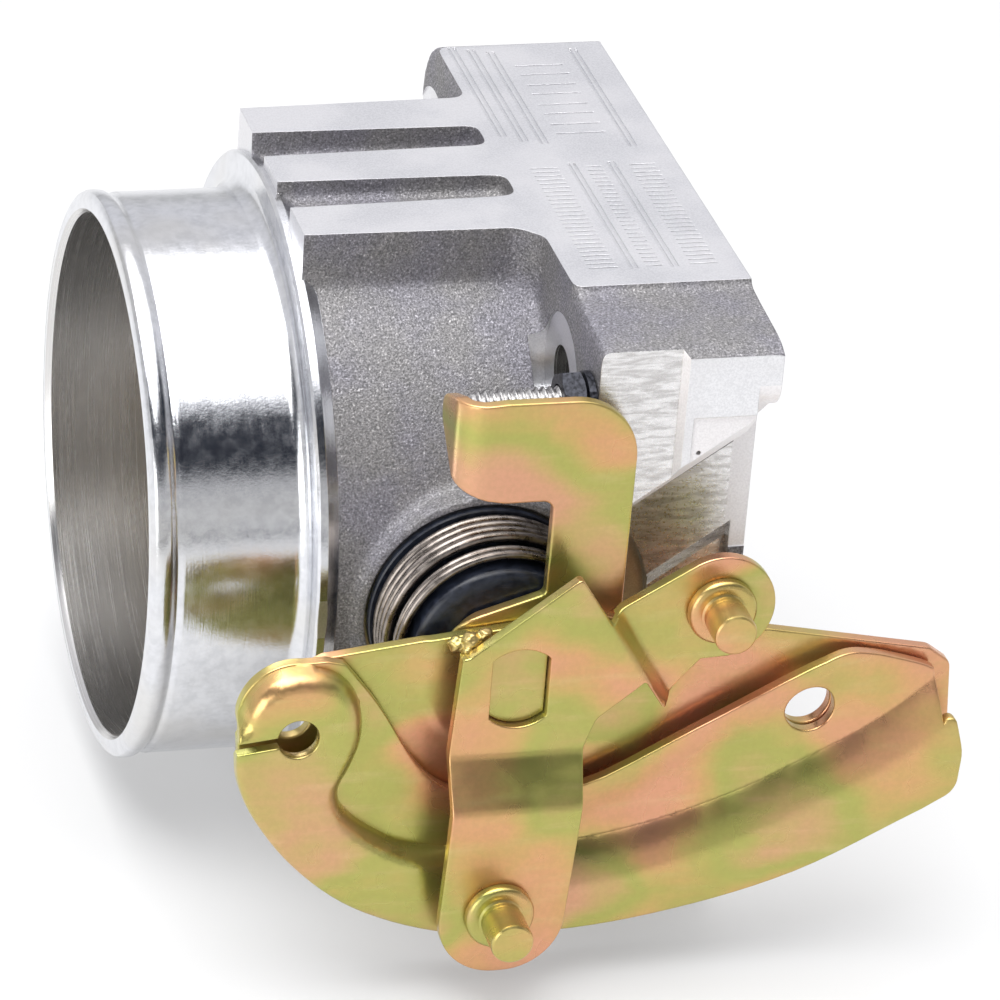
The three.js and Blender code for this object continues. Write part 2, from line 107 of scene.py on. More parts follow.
def smooth_line(points, per=6):
    """An open centripetal curve through the points."""
    p = [np.array(q, float) for q in points]
    p = [2 * p[0] - p[1]] + p + [2 * p[-1] - p[-2]]
    out = []
    for i in range(1, len(p) - 2):
        t = [0.0]
        for a, b in zip(p[i - 1 : i + 2], p[i : i + 3]):
            t.append(t[-1] + max(np.linalg.norm(b - a), 1e-6) ** 0.5)
        for s in np.linspace(t[1], t[2], per, endpoint=False):
            a1 = (t[1] - s) / (t[1] - t[0]) * p[i - 1] + (s - t[0]) / (t[1] - t[0]) * p[i]
            a2 = (t[2] - s) / (t[2] - t[1]) * p[i] + (s - t[1]) / (t[2] - t[1]) * p[i + 1]
            a3 = (t[3] - s) / (t[3] - t[2]) * p[i + 1] + (s - t[2]) / (t[3] - t[2]) * p[i + 2]
            b1 = (t[2] - s) / (t[2] - t[0]) * a1 + (s - t[0]) / (t[2] - t[0]) * a2
            b2 = (t[3] - s) / (t[3] - t[1]) * a2 + (s - t[1]) / (t[3] - t[1]) * a3
            out.append(tuple((t[2] - s) / (t[2] - t[1]) * b1 + (s - t[1]) / (t[2] - t[1]) * b2))
    out.append(tuple(p[-2]))
    return out


# ---- meshes ----
def mesh_object(name, verts, faces, material=None):
    mesh = bpy.data.meshes.new(name)
    mesh.from_pydata([tuple(map(float, v)) for v in verts], [], faces)
    bm = bmesh.new()
    bm.from_mesh(mesh)
    bmesh.ops.remove_doubles(bm, verts=bm.verts, dist=1e-4)
    bmesh.ops.recalc_face_normals(bm, faces=bm.faces)
    bm.to_mesh(mesh)
    bm.free()
    made = bpy.data.objects.new(name, mesh)
    bpy.context.scene.collection.objects.link(made)
    if material:
        mesh.materials.append(material)
    return made


PLACE = {
    "x": lambda a, b, d: (d, a, b),
    "y": lambda a, b, d: (a, d, b),
    "z": lambda a, b, d: (a, b, d),
}


def prism(points, axis, low, high, material=None, flare=0.0):
    """An outline extruded along an axis. flare widens the low end, as the draft of a casting does."""
    put = PLACE[axis]
    count = len(points)
    centre = np.mean(np.array(points), axis=0)
    low_points = [
        tuple(np.array(p) + flare * np.sign(np.array(p) - centre)) if flare else p for p in points
    ]
    verts = [put(*p, low) for p in low_points] + [put(*p, high) for p in points]
    sides = [(i, (i + 1) % count, (i + 1) % count + count, i + count) for i in range(count)]
    faces = [tuple(range(count))[::-1], tuple(range(count, 2 * count))] + sides
    return mesh_object("tool", verts, faces, material)


def block(x, y, z, material=None):
    corners = [(x[0], y[0]), (x[1], y[0]), (x[1], y[1]), (x[0], y[1])]
    return prism(corners, "z", z[0], z[1], material)


def lathe(profile, axis, centre=(0, 0, 0), segments=96, material=None, closed=False):
    """A turned solid. The profile is (radius, place along the axis)."""
    rows = []
    for i in range(segments):
        angle = 2 * math.pi * i / segments
        c, s = math.cos(angle), math.sin(angle)
        for r, along in profile:
            if axis == "x":
                rows.append((centre[0] + along, centre[1] + r * c, centre[2] + r * s))
            elif axis == "y":
                rows.append((centre[0] + r * c, centre[1] + along, centre[2] + r * s))
            else:
                rows.append((centre[0] + r * c, centre[1] + r * s, centre[2] + along))
    count = len(profile)
    faces = []
    for i in range(segments):
        a, b = i * count, ((i + 1) % segments) * count
        for j in range(count if closed else count - 1):
            k = (j + 1) % count
            faces.append((a + j, a + k, b + k, b + j))
    return mesh_object("tool", rows, faces, material)


def rod(axis, radius, low, high, centre=(0, 0), segments=64, material=None):
    at = {"x": (0, *centre), "y": (centre[0], 0, centre[1]), "z": (*centre, 0)}[axis]
    return lathe([(0, low), (radius, low), (radius, high), (0, high)], axis, at, segments, material)


def join_loose(name, objects):
    """Several closed meshes in one object, not yet merged."""
    bm = bmesh.new()
    for o in objects:
        bm.from_mesh(o.data)
        bpy.data.objects.remove(o)
    mesh = bpy.data.meshes.new(name)
    bm.to_mesh(mesh)
    bm.free()
    made = bpy.data.objects.new(name, mesh)
    bpy.context.scene.collection.objects.link(made)
    return made


def evaluated(o):
    """Applies an object's modifiers to its mesh."""
    graph = bpy.context.evaluated_depsgraph_get()
    graph.update()
    mesh = bpy.data.meshes.new_from_object(o.evaluated_get(graph))
    o.modifiers.clear()
    o.data = mesh
    return o


def boolean(base, tools, operation="DIFFERENCE"):
    for tool in tools:
        m = base.modifiers.new("b", "BOOLEAN")
        m.solver = "MANIFOLD"
        m.operation = operation
        m.material_mode = "TRANSFER"
        m.object = tool
        evaluated(base)
        bpy.data.objects.remove(tool)
    return base


def shade(o, angle=32.0):
    """Smooth shading with sharp edges over an angle, large faces kept flat."""
    bm = bmesh.new()
    bm.from_mesh(o.data)
    for f in bm.faces:
        f.smooth = True
    for e in bm.edges:
        e.smooth = len(e.link_faces) == 2 and e.calc_face_angle(0) < math.radians(angle)
    bm.to_mesh(o.data)
    bm.free()
    m = o.modifiers.new("normals", "WEIGHTED_NORMAL")
    m.mode = "FACE_AREA"
    m.keep_sharp = True
    return o


def finish_piece(o, name, body, slot, *nodes, angle=32.0):
    """Names a piece, scales it to metres, ties it to its CAD body and hides the CAD nodes it stands in for."""
    o.name = name
    o.data.name = name
    o.data.transform(MM)
    shade(o, angle)
    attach(o, body)
    if nodes:
        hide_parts(*nodes)
    return o


# ---- pressed sheet metal ----
def ramp(s, width, soft=0.5):
    """0 before s = 0, 1 after s = width, straight between with rounded corners."""
    def hinge(t):
        return 0.5 * (t + np.sqrt(t * t + soft * soft))
    return (hinge(s) - hinge(s - width)) / width


def inside(points, loop):
    """Which points lie inside a closed loop."""
    x, y = points[:, 0], points[:, 1]
    found = np.zeros(len(points), bool)
    for (x0, y0), (x1, y1) in zip(loop, np.roll(loop, -1, axis=0)):
        crosses = (y0 > y) != (y1 > y)
        with np.errstate(divide="ignore", invalid="ignore"):
            at = (x1 - x0) * (y - y0) / (y1 - y0) + x0
        found ^= crosses & (x < at)
    return found


def distance(points, loop, closed=True):
    """Distance from each point to a line of segments."""
    best = np.full(len(points), 1e9)
    ends = np.roll(loop, -1, axis=0) if closed else loop[1:]
    starts = loop if closed else loop[:-1]
    for a, b in zip(starts, ends):
        d = b - a
        t = np.clip(((points - a) @ d) / max(d @ d, 1e-12), 0, 1)
        best = np.minimum(best, np.hypot(*(points - a - t[:, None] * d).T))
    return best


def resampled(loop, step):
    """Long sides of a loop cut into steps; short ones kept."""
    out = []
    for a, b in zip(loop, np.roll(loop, -1, axis=0)):
        length = np.hypot(*(b - a))
        if length < 1e-3:
            continue
        count = max(1, int(length / step))
        out += [a + (b - a) * k / count for k in range(count)]
    return np.array(out)


def pressed(name, outer, holes, place, thickness=SHEET, edge=0.3, step=0.8, along_y=True, creases=()):
    """Sheet metal with rounded edges: outline, holes and crease lines in the flat, laid on place(u, v)."""
    loops = []
    for i, loop in enumerate([outer] + holes):
        loop = resampled(np.array(loop, float), step)
        area = 0.5 * np.sum(loop[:, 0] * np.roll(loop[:, 1], -1) - np.roll(loop[:, 0], -1) * loop[:, 1])
        loops.append(loop if (area > 0) == (i == 0) else loop[::-1])
    outward, insets = [], []
    for loop in loops:
        on = np.roll(loop, -1, axis=0) - loop
        on /= np.linalg.norm(on, axis=1)[:, None]
        back = np.roll(on, 1, axis=0)
        n = np.stack([on[:, 1] + back[:, 1], -on[:, 0] - back[:, 0]], 1)
        n /= np.maximum(np.linalg.norm(n, axis=1), 1e-6)[:, None]
        cosine = np.clip((n * np.stack([on[:, 1], -on[:, 0]], 1)).sum(1), 0.5, 1)
        outward.append(n / cosine[:, None])
        insets.append(loop - outward[-1] * edge)
    flat = np.concatenate(insets)
    border = np.concatenate(outward)
    starts = np.cumsum([0] + [len(l) for l in loops])
    edges = [
        (int(s + k), int(s + (k + 1) % len(l))) for s, l in zip(starts, loops) for k in range(len(l))
    ]
    low, high = flat.min(0), flat.max(0)
    gx, gy = np.meshgrid(np.arange(low[0], high[0], step), np.arange(low[1], high[1], step * 0.866))
    gx = gx + (np.arange(gx.shape[0]) % 2)[:, None] * step / 2
    cells = np.stack([gx.ravel(), gy.ravel()], 1)
    creases = [np.array(line) for line in creases]
    for line in creases:
        cells = cells[distance(cells, line, closed=False) > step * 0.3]
    cells = np.concatenate([cells] + creases)
    keep = inside(cells, insets[0])
    for hole in insets[1:]:
        keep &= ~inside(cells, hole)
    cells = cells[keep]
    for loop in insets:
        cells = cells[distance(cells, loop) > step * 0.35]
    points = np.concatenate([flat, cells])
    made = delaunay_2d_cdt([Vector(p) for p in points], edges, [], 0, 1e-5)
    corners = np.array([tuple(v) for v in made[0]])
    to_new = {old: new for new, olds in enumerate(made[3]) for old in olds}
    triangles = np.array(made[2], int)
    middle = corners[triangles].mean(1)
    keep = inside(middle, insets[0])
    for hole in insets[1:]:
        keep &= ~inside(middle, hole)
    triangles = triangles[keep]

    def surface(p):
        h = 0.01
        at = place(p[:, 0], p[:, 1])
        du = place(p[:, 0] + h, p[:, 1]) - place(p[:, 0] - h, p[:, 1])
        dv = place(p[:, 0], p[:, 1] + h) - place(p[:, 0], p[:, 1] - h)
        n = np.cross(du, dv)
        n /= np.linalg.norm(n, axis=1)[:, None]
        return at, (np.tile([0.0, -1.0, 0.0], (len(p), 1)) if along_y else n)

    front, n = surface(corners)
    verts = list(front) + list(front - n * thickness)
    count = len(corners)
    faces = [tuple(t) for t in triangles] + [tuple(t[::-1] + count) for t in triangles]
    rows = [[to_new[k] for k in range(len(flat))]]
    levels = [(math.sin(a) * edge, edge * (1 - math.cos(a))) for a in np.radians([30, 60, 90])]
    levels += [(out, thickness - deep) for out, deep in reversed(levels)]
    for out, deep in levels:
        at, n = surface(flat + border * out)
        rows.append(list(range(len(verts), len(verts) + len(flat))))
        verts += list(at - n * deep)
    rows.append([to_new[k] + count for k in range(len(flat))])
    for upper, lower in zip(rows, rows[1:]):
        for a, b in edges:
            faces.append((upper[a], lower[a], lower[b], upper[b]))
    return mesh_object(name, verts, faces)


# ---- materials ----
class Paint:
    """A Principled material with its procedural nodes. Coordinates are in millimetres on the piece."""

    def __init__(self, name, metallic, roughness):
        self.material = bpy.data.materials.new(name)
        self.material.use_nodes = True
        self.tree = self.material.node_tree
        self.bsdf = next(n for n in self.tree.nodes if n.type == "BSDF_PRINCIPLED")
        self.bsdf.inputs["Metallic"].default_value = metallic
        self.bsdf.inputs["Roughness"].default_value = roughness
        coordinates = self.tree.nodes.new("ShaderNodeTexCoord")
        self.mm = self.vector("SCALE", coordinates.outputs["Object"], scale=1000.0)
        self.height = None

    def link(self, source, socket):
        self.tree.links.new(source, socket)

    def put(self, socket, value):
        if isinstance(value, bpy.types.NodeSocket):
            self.link(value, socket)
        elif value is not None:
            socket.default_value = value

    def vector(self, operation, a, b=None, scale=None):
        node = self.tree.nodes.new("ShaderNodeVectorMath")
        node.operation = operation
        self.put(node.inputs[0], a)
        self.put(node.inputs[1], b)
        if scale is not None:
            node.inputs["Scale"].default_value = scale
        return node.outputs["Value" if operation in ("LENGTH", "DOT_PRODUCT") else "Vector"]

    def math(self, operation, a, b=None, c=None, clamp=False):
        node = self.tree.nodes.new("ShaderNodeMath")
        node.operation = operation
        node.use_clamp = clamp
        for socket, value in zip(node.inputs, (a, b, c)):
            self.put(socket, value)
        return node.outputs[0]

    def noise(self, scale, detail=3.0, roughness=0.55, stretch=None, distortion=0.0, offset=None):
        at = self.vector("MULTIPLY", self.mm, stretch) if stretch else self.mm
        if offset:
            at = self.vector("ADD", at, offset)
        node = self.tree.nodes.new("ShaderNodeTexNoise")
        self.link(at, node.inputs["Vector"])
        settings = {"Scale": scale, "Detail": detail, "Roughness": roughness, "Distortion": distortion}
        for key, value in settings.items():
            node.inputs[key].default_value = value
        return node.outputs["Fac"]

    def cells(self, scale, output="Distance"):
        node = self.tree.nodes.new("ShaderNodeTexVoronoi")
        self.link(self.mm, node.inputs["Vector"])
        node.inputs["Scale"].default_value = scale
        return node.outputs[output]

    def span(self, value, low, high, to_low=0.0, to_high=1.0):
        node = self.tree.nodes.new("ShaderNodeMapRange")
        node.interpolation_type = "SMOOTHSTEP"
        for socket, v in zip(node.inputs, (value, low, high, to_low, to_high)):
            self.put(socket, v)
        return node.outputs[0]

    def ramp(self, value, *stops, blend="EASE"):
        node = self.tree.nodes.new("ShaderNodeValToRGB")
        node.color_ramp.interpolation = blend
        elements = node.color_ramp.elements
        while len(elements) < len(stops):
            elements.new(0.5)
        for element, (at, colour) in zip(elements, stops):
            element.position = at
            element.color = (*colour, 1)
        self.link(value, node.inputs["Fac"])
        return node.outputs["Color"]

    def mix(self, share, a, b, how="MIX"):
        node = self.tree.nodes.new("ShaderNodeMix")
        node.data_type = "RGBA"
        node.blend_type = how
        self.put(node.inputs["Factor"], share)
        colour_a, colour_b = [s for s in node.inputs if s.type == "RGBA"]
        self.put(colour_a, (*a, 1) if isinstance(a, tuple) else a)
        self.put(colour_b, (*b, 1) if isinstance(b, tuple) else b)
        return next(s for s in node.outputs if s.type == "RGBA")

    def relief(self, height, depth):
        """Adds a bump layer. depth is in millimetres."""
        node = self.tree.nodes.new("ShaderNodeBump")
        node.inputs["Strength"].default_value = 1.0
        node.inputs["Distance"].default_value = depth * 0.001
        self.link(height, node.inputs["Height"])
        if self.height is not None:
            self.link(self.height, node.inputs["Normal"])
        self.height = node.outputs["Normal"]
        return self

    def done(self, colour=None, roughness=None):
        if colour is not None:
            self.put(self.bsdf.inputs["Base Color"], (*colour, 1) if isinstance(colour, tuple) else colour)
        if roughness is not None:
            self.link(roughness, self.bsdf.inputs["Roughness"])
        if self.height is not None:
            self.link(self.height, self.bsdf.inputs["Normal"])
        return self.material

    def soft_edges(self, radius):
        """Rounds sharp edges in the shading by radius millimetres."""
        node = self.tree.nodes.new("ShaderNodeBevel")
        node.samples = 4
        node.inputs["Radius"].default_value = radius * 0.001
        self.height = node.outputs["Normal"]
        return self


def cast_aluminium():
    p = Paint("cast_aluminium", 0.3, 0.5).soft_edges(0.35)
    grain = p.noise(3.3, 2.0, 0.6)
    speck = p.math("POWER", p.vector("LENGTH", p.cells(3.4, "Color")), 3.0)
    cloud = p.noise(0.09, 3.0)
    value = p.math("ADD", p.math("MULTIPLY", grain, 0.8), p.math("MULTIPLY", speck, 0.04))
    colour = p.ramp(
        value, (0.3, (0.115, 0.115, 0.12)), (0.5, (0.225, 0.222, 0.235)), (0.7, (0.50, 0.495, 0.51))
    )
    tint = p.ramp(cloud, (0.35, (1.0, 0.98, 0.94)), (0.65, (0.95, 0.93, 1.0)))
    colour = p.mix(1.0, colour, tint, "MULTIPLY")
    p.relief(p.noise(3.0, 2.5, 0.65), 0.15)
    return p.done(colour, p.span(grain, 0.35, 0.7, 0.55, 0.36))


def turned_aluminium():
    p = Paint("turned_aluminium", 1.0, 0.2).soft_edges(0.2)
    rings = p.noise(1.0, 2.0, 0.6, stretch=(5.0, 0.06, 0.06))
    blotch = p.noise(0.5, 4.0, 0.65)
    haze = p.noise(0.05, 2.0)
    colour = p.ramp(blotch, (0.3, (0.66, 0.67, 0.70)), (0.65, (0.78, 0.79, 0.82)))
    colour = p.mix(p.span(haze, 0.45, 0.7, 0.0, 0.7), colour, (0.72, 0.71, 0.69))
    p.relief(rings, 0.012)
    p.relief(p.noise(2.5, 3.0, 0.6), 0.012)
    roughness = p.math("ADD", p.span(blotch, 0.3, 0.7, 0.11, 0.18), p.math("MULTIPLY", rings, 0.08))
    return p.done(colour, roughness)


def milled_aluminium():
    p = Paint("milled_aluminium", 1.0, 0.35).soft_edges(0.22)
    lay = p.noise(1.0, 3.0, 0.6, stretch=(0.25, 3.0, 0.25))
    fine = p.noise(3.5, 3.0, 0.6)
    cloud = p.noise(0.08, 3.0)
    colour = p.ramp(fine, (0.35, (0.76, 0.76, 0.78)), (0.65, (0.88, 0.88, 0.90)))
    colour = p.mix(p.span(cloud, 0.4, 0.65, 0.0, 0.5), colour, (0.78, 0.77, 0.78))
    p.relief(lay, 0.014)
    p.relief(fine, 0.02)
    return p.done(colour, p.span(cloud, 0.35, 0.65, 0.3, 0.4))


def rough_milled_aluminium():
    """Side faces with the cutter's coarse curved marks."""
    p = Paint("rough_milled_aluminium", 0.85, 0.3).soft_edges(0.22)
    marks = p.noise(0.5, 3.0, 0.6, stretch=(0.5, 1.0, 2.4), distortion=0.5)
    fine = p.noise(2.2, 3.0, 0.6)
    colour = p.ramp(marks, (0.36, (0.58, 0.565, 0.56)), (0.62, (0.84, 0.83, 0.83)))
    p.relief(marks, 0.07)
    p.relief(fine, 0.02)
    return p.done(colour, p.span(fine, 0.3, 0.7, 0.24, 0.36))


def matte_milled_aluminium():
    """Finely milled faces that scatter light evenly."""
    p = Paint("matte_milled_aluminium", 0.35, 0.42).soft_edges(0.22)
    fine = p.noise(3.0, 3.0, 0.6)
    cloud = p.noise(0.1, 3.0)
    colour = p.ramp(fine, (0.35, (0.84, 0.82, 0.83)), (0.65, (0.93, 0.91, 0.92)))
    p.relief(fine, 0.02)
    return p.done(colour, p.span(cloud, 0.35, 0.65, 0.36, 0.48))


def gold_zinc(name="gold_zinc", offset=(0, 0, 0), green=0.0):
    """Yellow chromate over zinc: broad soft patches from pink tan to yellow green, paler where worn."""
    p = Paint(name, 0.85, 0.3)
    broad = p.noise(0.040, 0.8, 0.4, stretch=(1.0, 0.6, 1.4), distortion=0.4, offset=offset)
    small = p.noise(0.12, 2.0, 0.5, distortion=0.3, offset=offset)
    streak = p.noise(0.3, 3.0, 0.6, stretch=(0.25, 1.0, 1.6))
    fine = p.noise(1.4, 3.0, 0.6)
    value = p.math("ADD", broad, p.math("MULTIPLY", p.math("SUBTRACT", small, 0.5), 0.2))
    value = p.math("ADD", value, p.math("MULTIPLY", p.math("SUBTRACT", streak, 0.5), 0.08))
    value = p.math("ADD", value, green)
    colour = p.ramp(
        value,
        (0.29, (0.72, 0.35, 0.22)), (0.38, (0.70, 0.39, 0.18)), (0.45, (0.58, 0.43, 0.15)),
        (0.53, (0.39, 0.44, 0.11)), (0.61, (0.54, 0.43, 0.15)), (0.72, (0.72, 0.36, 0.24)),
        blend="B_SPLINE",
    )
    colour = p.mix(p.span(streak, 0.5, 0.8, 0.0, 0.25), colour, (0.76, 0.56, 0.30))
    colour = p.mix(p.span(fine, 0.35, 0.65, 0.0, 0.12), colour, (0.34, 0.25, 0.09))
    p.relief(p.noise(0.35, 3.0, 0.6), 0.035)
    p.relief(p.noise(4.0, 2.0, 0.6), 0.006)
    return p.done(colour, p.span(small, 0.3, 0.7, 0.24, 0.36))


def metal(name, dark, light, roughness, scale=2.0, stretch=None, depth=0.01, metallic=1.0):
    p = Paint(name, metallic, sum(roughness) / 2)
    grain = p.noise(scale, 3.0, 0.6, stretch=stretch)
    p.relief(grain, depth)
    return p.done(p.ramp(grain, (0.35, dark), (0.65, light)), p.span(grain, 0.3, 0.7, *roughness))


CAST = cast_aluminium()
TURNED = turned_aluminium()
MILLED = milled_aluminium()
ROUGH = rough_milled_aluminium()
MATTE = matte_milled_aluminium()
BORED = metal(
    "bored_aluminium", (0.62, 0.61, 0.60), (0.68, 0.67, 0.66), (0.22, 0.28), 1.0, (5.0, 0.05, 0.05), 0.002
)
SPRING = metal("spring_steel", (0.20, 0.175, 0.155), (0.34, 0.30, 0.27), (0.24, 0.34), 0.5)
BLACK = metal("black_oxide", (0.012, 0.013, 0.018), (0.05, 0.052, 0.065), (0.25, 0.42), 1.6, metallic=0.6)
THREAD = metal("screw_steel", (0.34, 0.33, 0.33), (0.62, 0.61, 0.6), (0.2, 0.35), 1.5)
STEEL = metal("shaft_steel", (0.36, 0.35, 0.33), (0.58, 0.56, 0.53), (0.25, 0.4), 1.2)
BRASS = metal("brass", (0.48, 0.33, 0.12), (0.66, 0.48, 0.2), (0.28, 0.42), 0.7, (0.4, 3.0, 0.4))
NYLON = metal("nylon", (0.006, 0.008, 0.014), (0.014, 0.018, 0.03), (0.3, 0.42), 0.8, metallic=0.0)
RUBBER = metal("rubber", (0.012, 0.012, 0.012), (0.03, 0.03, 0.03), (0.6, 0.8), 2.0, metallic=0.0)
RACE = metal("bearing_steel", (0.5, 0.5, 0.52), (0.66, 0.66, 0.68), (0.12, 0.22), 0.6)
GOLD = gold_zinc()
GOLD_ARM = gold_zinc("gold_zinc_arm", (31, 7, 12))
GOLD_BRACKET = gold_zinc("gold_zinc_bracket", (5, 40, 11))
GOLD_PIN = gold_zinc("gold_zinc_pin", (11, 3, 60), 0.04)


# ---- housing: a rounded casting, then machined ----
def casting():
    flange = prism(rounded([
        (-PAD_Y - 0.5, TOP_Z + 2), (-PAD_Y - 0.9, TOP_Z - 1.0), (-EAR_Y - 0.9, TOP_Z - 2.4, 4.5),
        (-EAR_Y - 0.9, 38, 4.5), (-WAIST_Y, 30.5, 3.5), (-WAIST_Y, -TOP_Z - 1, 5), (FAR_Y, -TOP_Z - 1, 9),
        (FAR_Y, TOP_Z + 0.4, 9.5),
    ]), "x", FLANGE_X, 1.5)
    barrel = lathe([(0, RIB_X - 2), (CAST_R, RIB_X - 2), (CAST_R, -3), (0, -3)], "x", segments=160)
    ribs = []
    for near, far in ((12.9, 21.3), (-4.0, 4.6), (-21.6, -12.7)):
        corners = [(RIB_X - 2, near), (FLANGE_X + 4, near - 0.9), (FLANGE_X + 4, far + 0.9), (RIB_X - 2, far)]
        ribs.append(prism(corners, "z", 30, TOP_Z + 2, flare=0.5))
    ends = []
    for y in (8.75, -8.35):
        outline = [
            (-30, y - 6), (-30, y - 3.4, 2.6), (-26.6, y - 3.4, 0.5), (-26.6, y + 3.4, 0.5),
            (-30, y + 3.4, 2.6), (-30, y + 6), (-22, y + 6), (-22, y - 6),
        ]
        ends.append(prism(rounded(outline), "z", 30, TOP_Z + 2))
    # the web that runs from the near rib down into the flange corner
    corner = [(-31.5, -20.5), (FLANGE_X + 1, -26.5), (FLANGE_X + 1, -18), (-33, -18)]
    ends.append(prism(corner, "z", 30, TOP_Z + 2))
    side = [(FLANGE_X, TOP_Z - 3), (0, TOP_Z - 3), (0, 34), (FLANGE_X, 16)]
    stop_block = prism(side, "y", -EAR_Y - 0.9, -38)
    boss = rod("y", BOSS_R, BOSS_Y, -18, (SHAFT_X, 0), 96)
    pad = rounded([(SHAFT_X + x, z, 6) for x, z in ((-16, -23), (16, -23), (16, 23), (-16, 23))])
    far_boss = prism(pad, "y", 28, FAR_PAD_Y + 1)
    cast = join_loose("casting", [flange, barrel, *ribs, *ends, stop_block, boss, far_boss])
    cast.data.materials.append(CAST)
    remesh = cast.modifiers.new("remesh", "REMESH")
    remesh.mode = "VOXEL"
    remesh.voxel_size = 0.75
    smooth = cast.modifiers.new("smooth", "SMOOTH")
    smooth.factor, smooth.iterations = 0.5, 7
    return evaluated(cast)


def slanted(section, at_z, material, rise=18.0):
    """A cut whose section in (y, height) runs parallel to the swing of the levers, rising to the right."""
    tool = prism(section, "x", -15, math.hypot(26, rise) + 15, material)
    turn = Matrix.Rotation(-math.atan2(rise, 26), 4, "Y")
    tool.data.transform(Matrix.Translation((FLANGE_X, 0, at_z)) @ turn)
    return tool


def lever_clearance():
    """The milled steps on the lever side: under the stop block, along the waist and below it."""
    out = -EAR_Y - 2
    under_block = slanted([(out, 3.2), (-WAIST_Y + 0.2, -6.9), (out, -14)], 18, MATTE)
    # the ear's round lower end, only as thick as the flange's rim
    curve = arc((-EAR_Y + 4.6, 40.6), 4.6, 180, 262)
    below_ear = [(out, 42), *curve, (-WAIST_Y + 0.2, 31.3), (-WAIST_Y + 0.2, 10), (out, 10)]
    ear = prism(below_ear, "x", -3.2, 2, MATTE)
    ledge = prism([(-12.4, 36), (2, 36), (2, 16), (-12.4, 16)], "y", out, -EAR_Y + 0.3, MATTE)
    pit = rod("y", 0.34, -EAR_Y - 1, -EAR_Y + 1.2, PIT, 16, ROUGH)
    band = [(FLANGE_X - 1, -6), (1, 15.8), (1, 30), (FLANGE_X - 1, 11)]
    waist = prism(band, "y", -WAIST_Y - 0.5, -WAIST_Y + 0.2, ROUGH)
    lower = slanted([(out, -0.4), (-WAIST_Y, -0.4), (-48.4, -3.4), (-48.4, -60), (out, -60)], -1.2, ROUGH)
    boolean(lower, [block((-40, -2.4), (-70, -40), (-28, 30), ROUGH)], "INTERSECT")
    return [under_block, ear, ledge, pit, waist, lower]


def engraving():
    """Plain straight grooves and close rows of ticks in the milled top."""
    depth = (TOP_Z - 0.22, TOP_Z + 1)
    tools = []
    for x, low, high in (
        (-24.2, 8, 40), (-23.3, 8, 40), (-21.4, 6, 39), (-20.5, 6, 39), (-18.6, 5, 38), (-17.7, 5, 38),
        (-5.6, 3, 38), (-4.7, 3, 38), (-16.4, -37, -2), (-15.6, -37, -2), (-10.4, -37, -2), (-9.6, -37, -2),
    ):
        tools.append(block((x, x + 0.35), (low, high), depth, MILLED))
    for x, width in ((-22.4, 4.2), (-14.0, 2.4), (-7.4, 4.0)):
        for k in range(26):
            y = -36.5 + k * 1.32
            tools.append(block((x, x + width), (y, y + 0.3), depth, MILLED))
    x, width = -15.4, 7.6
    for pair in (8, 15, 22, 29):
        for y in (pair, pair + 3.2):
            tools.append(block((x, x + width), (y, y + 0.35), depth, MILLED))
    return tools


